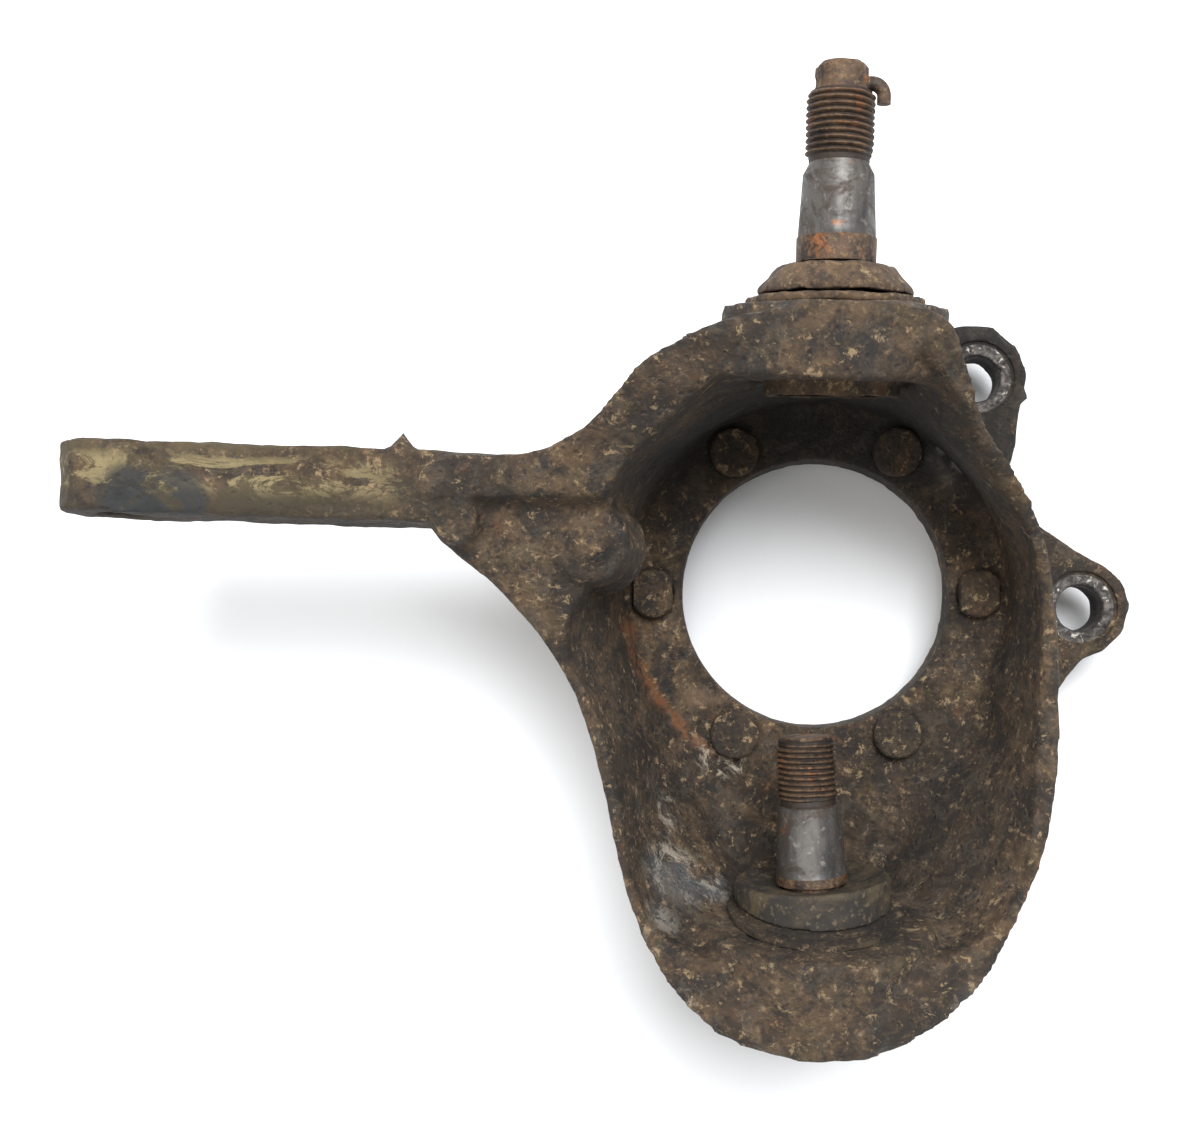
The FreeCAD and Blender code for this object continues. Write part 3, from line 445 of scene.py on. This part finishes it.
CASTING = casting_paint()
STUD_RUST = caked("rusted_stud", "1c1510", "4e3d2a")
HOUSING_RUST = caked("rusted_housing", "261c14", "5c4833")
# The lower housing, its cover plate and snap ring are near-black: partly caked dirt, partly painted shade under
# the lower boot.
DARK_HOUSING = caked("dark_housing", "15110d", "3a3024", 0.6)
UPPER_THREAD = threaded_steel("upper_thread_rust", *axis_of("upper_spin"))
LOWER_THREAD = threaded_steel("lower_thread_rust", *axis_of("lower_spin"))
BARE = bare_steel("bright_taper")
BOOT = caked("boot_dirt", "281d15", "5c4833")
LOWER_BOOT = rubber("lower_boot_rubber", "1f1a15", "443a29")
LINER = rusty_steel("bearing_liner", "b8b098", "cfc7b0", "b8b098", 0.0, 0.0, 0.5)
SPRING = rusty_steel("spring_steel", "4a423a", "7a7064", "7a4c2a", 0.35, 0.5, 0.6)


def dress(node, material):
    mesh = nodes[node].data
    mesh.materials.clear()
    mesh.materials.append(material)


for name in nodes:
    if name.startswith("spindle_stud"):
        dress(name, STUD_RUST)
for name, material in {
    "upper_joint_housing": HOUSING_RUST, "upper_cover_plate": HOUSING_RUST, "upper_boot": BOOT,
    "upper_bearing_cap": LINER, "upper_bearing_seat": LINER, "upper_preload_spring": SPRING,
    "upper_cotter_pin": UPPER_THREAD, "lower_joint_housing": DARK_HOUSING, "lower_cover_plate": DARK_HOUSING,
    "lower_bearing_cap": LINER, "lower_bearing_seat": LINER, "lower_preload_spring": SPRING,
    "lower_grease_fitting": SPRING, "lower_boot": LOWER_BOOT, "lower_snap_ring": DARK_HOUSING,
    "knuckle_casting": CASTING, "upper_ball_stud": UPPER_THREAD, "lower_ball_stud": LOWER_THREAD,
}.items():
    dress(name, material)


def copy_of(node, name):
    """A merged copy of a CAD node, at the same place."""
    piece = bpy.data.objects.new(name, nodes[node].data.copy())
    bpy.context.scene.collection.objects.link(piece)
    work = bmesh.new()
    work.from_mesh(piece.data)
    bmesh.ops.remove_doubles(work, verts=work.verts, dist=2e-6)
    work.to_mesh(piece.data)
    work.free()
    return piece


# How fine the worn meshes are
CASTING_GRID = 1.25 * MM
HOUSING_GRID = 0.6 * MM
SMALL_GRID = 0.5 * MM


def apply_modifiers(piece):
    bpy.context.view_layer.update()
    graph = bpy.context.evaluated_depsgraph_get()
    mesh = bpy.data.meshes.new_from_object(piece.evaluated_get(graph))
    piece.modifiers.clear()
    piece.data = mesh
    return piece


def shade_smooth(piece):
    for polygon in piece.data.polygons:
        polygon.use_smooth = True


def remeshed(piece, voxel, smoothing):
    """An even mesh with its edges worn round."""
    grid = piece.modifiers.new("grid", "REMESH")
    grid.mode = "VOXEL"
    grid.voxel_size = voxel
    grid.adaptivity = 0
    soft = piece.modifiers.new("soft", "SMOOTH")
    soft.factor = 0.5
    soft.iterations = smoothing
    return apply_modifiers(piece)


def roughened(piece, height):
    """Scale, rust lumps and flakes, as a height over the surface that height(point) gives in metres."""
    work = bmesh.new()
    work.from_mesh(piece.data)
    work.normal_update()
    for vertex in work.verts:
        vertex.co = vertex.co + vertex.normal * height(vertex.co)
    work.to_mesh(piece.data)
    work.free()
    shade_smooth(piece)
    return piece


def kept_inside(piece, node):
    """Keeps the worn skin within the box of the CAD node that it stands for."""
    corners = list(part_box(node))
    low = [min(corner[i] for corner in corners) for i in range(3)]
    high = [max(corner[i] for corner in corners) for i in range(3)]
    for vertex in piece.data.vertices:
        vertex.co = [min(max(vertex.co[i], low[i]), high[i]) for i in range(3)]
    return piece


def put_on(piece, material, slot_name, body, *replaced):
    piece.data.materials.clear()
    piece.data.materials.append(material)
    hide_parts(*replaced)
    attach(piece, body)
    return piece


# Chips and flakes that stand out: centre, reach and height in millimetres
CHIPS = [
    ((-102, 32.3, 72), 3.6, 4.2), ((60, 57, 9), 3.0, 2.2), ((58, 54, 7), 2.6, 2.0),
    ((-93, 30, 72), 2.0, 0.8),
]


def scale(at):
    """How far the rusted skin stands off the casting's form."""
    lump = noise.noise(at * 90) * 0.3 + noise.noise(at * 230 + Vector((3, 1, 7))) * 0.25
    flake = max(0.0, noise.noise(at * 60 + Vector((9, 4, 2))) - 0.2) * 0.5
    height = lump + flake * 0.5 + 0.1
    on_arm = min(1.0, max(0.0, (-0.088 - at.x) / 0.03))
    stretched = Vector((at.x * 70, at.y * 240, at.z * 240))
    height += on_arm * (noise.noise(stretched) * 0.45 + noise.noise(at * 400) * 0.2)
    for centre, reach, rise in CHIPS:
        away = (at / MM - Vector(centre)).length
        height += rise * max(0.0, 1 - away / reach) ** 1.3
    return height * MM


# Casting: worn and scaled all over, with the ends of its bores and seats cut crisp again
def drill(name, place, axis, radius, length):
    """A plain cylinder that cuts, from place along axis."""
    work = bmesh.new()
    bmesh.ops.create_cone(
        work, cap_ends=True, segments=128, radius1=radius, radius2=radius, depth=length,
        matrix=Matrix.Translation((0, 0, length / 2)),
    )
    mesh = bpy.data.meshes.new(name)
    work.to_mesh(mesh)
    work.free()
    turned = Vector(axis).to_track_quat("Z", "Y").to_matrix().to_4x4()
    mesh.transform(Matrix.Translation(place) @ turned)
    tool = bpy.data.objects.new(name, mesh)
    bpy.context.scene.collection.objects.link(tool)
    return tool


def cut_by(piece, tools):
    for tool in tools:
        cut = piece.modifiers.new("cut", "BOOLEAN")
        cut.operation = "DIFFERENCE"
        cut.solver = "EXACT"
        cut.object = tool
    apply_modifiers(piece)
    for tool in tools:
        bpy.data.objects.remove(tool)


def worn_casting():
    piece = roughened(remeshed(copy_of("knuckle_casting", "casting_worn"), CASTING_GRID, 3), scale)
    kept_inside(piece, "knuckle_casting")
    tools = [drill("bore_tool", (0, 0, -0.005), (0, 0, 1), BORE_RADIUS, 0.03)]
    for x, y in EAR_HOLES:
        face = (x, y, FLANGE_TOP - SPOTFACE_DEPTH)
        tools.append(drill("ear_tool", (x, y, -0.005), (0, 0, 1), EAR_HOLE_RADIUS, 0.03))
        tools.append(drill("ear_face_tool", face, (0, 0, 1), SPOTFACE_RADIUS, 0.01))
    cut_by(piece, tools)
    return put_on(piece, CASTING, "rusted_casting", "knuckle", "knuckle_casting")


casting = worn_casting()


# Small pieces, worn the same way
def lightly(at):
    return (noise.noise(at * 260) * 0.22 + noise.noise(at * 700) * 0.12 - 0.12) * MM


for number in range(1, 7):
    name = f"spindle_stud_{number}"
    piece = roughened(remeshed(copy_of(name, name + "_worn"), SMALL_GRID, 3), lightly)
    put_on(piece, STUD_RUST, "rusted_stud", "knuckle", name)


def ragged(at):
    return (noise.noise(at * 150) * 0.4 + noise.noise(at * 420) * 0.25 - 0.3) * MM


put_on(
    roughened(remeshed(copy_of("upper_joint_housing", "upper_housing_worn"), HOUSING_GRID, 2), ragged),
    HOUSING_RUST, "rusted_housing", "knuckle", "upper_joint_housing",
)


put_on(
    roughened(remeshed(copy_of("upper_boot", "upper_boot_worn"), SMALL_GRID, 2), ragged),
    BOOT, "boot_rubber", "upper_boot_swing", "upper_boot",
)
put_on(
    roughened(remeshed(copy_of("lower_boot", "lower_boot_worn"), SMALL_GRID, 3), lightly),
    LOWER_BOOT, "boot_rubber", "lower_boot_swing", "lower_boot",
)


# Ball studs: the CAD forms with a real thread cut round them
def helical_thread(name, origin, direction, low, high, wear):
    """A threaded sleeve between two heights over the ball's centre."""
    around, per_turn = 96, 12
    rows = int((high - low) / PITCH * per_turn)
    work = bmesh.new()
    bmesh.ops.create_grid(work, x_segments=around, y_segments=rows, size=0.5)
    frame_turn = direction.to_track_quat("Z", "Y").to_matrix()
    for vertex in work.verts:
        share, angle = vertex.co.y + 0.5, (vertex.co.x + 0.5) * 2 * math.pi
        height = low + share * (high - low)
        turn = (height / PITCH + angle / (2 * math.pi)) % 1
        crest = min(1.0, max(0.0, 1.3 * (1 - abs(2 * turn - 1)) - 0.1))
        ends = min(1.0, share * rows / per_turn / 0.8, (1 - share) * rows / per_turn / 0.8)
        radius = MINOR + (MAJOR - MINOR) * crest * ends
        local = Vector((radius * math.cos(angle), radius * math.sin(angle), height))
        local.xy *= 1 - wear * max(0.0, noise.noise(local * 300) - 0.05)
        vertex.co = origin + frame_turn @ local
    bmesh.ops.remove_doubles(work, verts=work.verts, dist=1e-6)
    mesh = bpy.data.meshes.new(name)
    work.to_mesh(mesh)
    work.free()
    piece = bpy.data.objects.new(name, mesh)
    bpy.context.scene.collection.objects.link(piece)
    shade_smooth(piece)
    return piece


def threaded_stud(node, joint_name, body, taper, thread, nose, rust):
    """A ball stud: bright on its taper, rusted elsewhere, with its thread as a separate sleeve.

    The taper and the thread are pairs of heights over the ball's centre, and the nose starts at one.
    """
    origin, direction = axis_of(joint_name)
    piece = copy_of(node, node + "_worn")
    work = bmesh.new()
    work.from_mesh(piece.data)
    long_edges = [e for e in work.edges if (e.verts[0].co - origin).dot(direction) > thread[1] - 0.001]
    bmesh.ops.subdivide_edges(work, edges=long_edges, cuts=3, use_grid_fill=True)
    for vertex in work.verts:
        away = vertex.co - origin
        height = away.dot(direction)
        across = away - direction * height
        if thread[0] - 0.0012 < height < thread[1] + 0.0002 and across.length > MINOR:
            vertex.co = origin + direction * height + across.normalized() * (MINOR - 0.00005)
        elif height > nose and across.length > 0.003:
            worn = 1 - 0.09 * max(0.0, noise.noise(vertex.co * 330) + 0.15)
            chipped = height - 0.0007 * max(0, noise.noise(vertex.co * 500))
            vertex.co = origin + direction * chipped + across * worn
    work.to_mesh(piece.data)
    work.free()
    piece.data.materials.clear()
    piece.data.materials.append(rust)
    piece.data.materials.append(BARE)
    for polygon in piece.data.polygons:
        height = (polygon.center - origin).dot(direction)
        polygon.material_index = 1 if taper[0] < height < taper[1] else 0
    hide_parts(node)
    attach(piece, body)
    sleeve = helical_thread(node + "_thread", origin, direction, thread[0], thread[1], 0.06)
    sleeve.data.materials.append(rust)
    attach(sleeve, body)
    return piece


threaded_stud(
    "upper_ball_stud", "upper_spin", "upper_stud",
    taper=(0.0232, 0.0395), thread=(0.0404, 0.0549), nose=0.0556, rust=UPPER_THREAD,
)
threaded_stud(
    "lower_ball_stud", "lower_spin", "lower_stud",
    taper=(0.0175, 0.0352), thread=(0.0367, 0.0517), nose=0.0522, rust=LOWER_THREAD,
)


# Table and light
def flat_material(name, colour, rough):
    material = bpy.data.materials.new(name)
    material.use_nodes = True
    shader = material.node_tree.nodes["Principled BSDF"]
    shader.inputs["Base Color"].default_value = colour
    shader.inputs["Roughness"].default_value = rough
    return material


floor_level = min(corner[2] for box in sizes["nodes"].values() for corner in box)
work = bmesh.new()
bmesh.ops.create_grid(work, x_segments=1, y_segments=1, size=1.5)
mesh = bpy.data.meshes.new("table")
work.to_mesh(mesh)
work.free()
table = bpy.data.objects.new("table", mesh)
table.location = (0, 0, floor_level)
table.data.materials.append(flat_material("table_white", (0.86, 0.87, 0.88, 1), 0.5))
bpy.context.scene.collection.objects.link(table)
table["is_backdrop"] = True


def area_light(name, place, aim, size, power, colour=(1, 1, 1)):
    data = bpy.data.lights.new(name, "AREA")
    data.shape = "RECTANGLE"
    data.size, data.size_y = size
    data.energy = power
    data.color = colour
    light = bpy.data.objects.new(name, data)
    light.location = place
    light.rotation_euler = (Vector(aim) - Vector(place)).to_track_quat("-Z", "Y").to_euler()
    bpy.context.scene.collection.objects.link(light)
    light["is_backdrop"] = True


area_light("window", (0.15, 0.5, 1.2), (0, 0, 0.03), (0.8, 0.6), 28, (0.97, 0.98, 1.0))
area_light("lamp", (-0.6, -0.2, 1.1), (0, 0, 0), (0.9, 0.9), 6, (1.0, 0.98, 0.95))

ROOM_LIGHT = 0.24
WHITE_BEHIND = 1.0

world = bpy.data.worlds.new("room")
bpy.context.scene.world = world
world.use_nodes = True
tree = world.node_tree
background = tree.nodes["Background"]
background.inputs["Color"].default_value = (1, 1, 1, 1)
path = tree.nodes.new("ShaderNodeLightPath")
most = tree.nodes.new("ShaderNodeMath")
most.operation = "MAXIMUM"
also = tree.nodes.new("ShaderNodeMath")
also.operation = "MAXIMUM"
level = tree.nodes.new("ShaderNodeMapRange")
tree.links.new(path.outputs["Is Camera Ray"], most.inputs[0])
tree.links.new(path.outputs["Is Glossy Ray"], most.inputs[1])
tree.links.new(most.outputs[0], also.inputs[0])
tree.links.new(path.outputs["Is Transmission Ray"], also.inputs[1])
level.inputs["To Min"].default_value = ROOM_LIGHT
level.inputs["To Max"].default_value = WHITE_BEHIND
tree.links.new(also.outputs[0], level.inputs["Value"])
tree.links.new(level.outputs["Result"], background.inputs["Strength"])

# Camera: straight above the bowl, cut to the photograph's frame. The first four are in its pixels
PICTURE_WIDTH = 1200
FOCAL_LENGTH = 1150
MIDDLE_RIGHT = 120
MIDDLE_DOWN = 59.5
CAMERA_PLACE = (-0.0274, -0.0076, 0.342)

lens = bpy.data.cameras.new("camera")
lens.sensor_width = 36
lens.lens = lens.sensor_width * FOCAL_LENGTH / PICTURE_WIDTH
lens.shift_x = -MIDDLE_RIGHT / PICTURE_WIDTH
lens.shift_y = MIDDLE_DOWN / PICTURE_WIDTH
camera = bpy.data.objects.new("camera", lens)
camera.location = CAMERA_PLACE
bpy.context.scene.collection.objects.link(camera)
bpy.context.scene.camera = camera
bpy.context.scene.view_settings.view_transform = "Standard"

sizes["whole"] = [list(corner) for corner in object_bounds()]
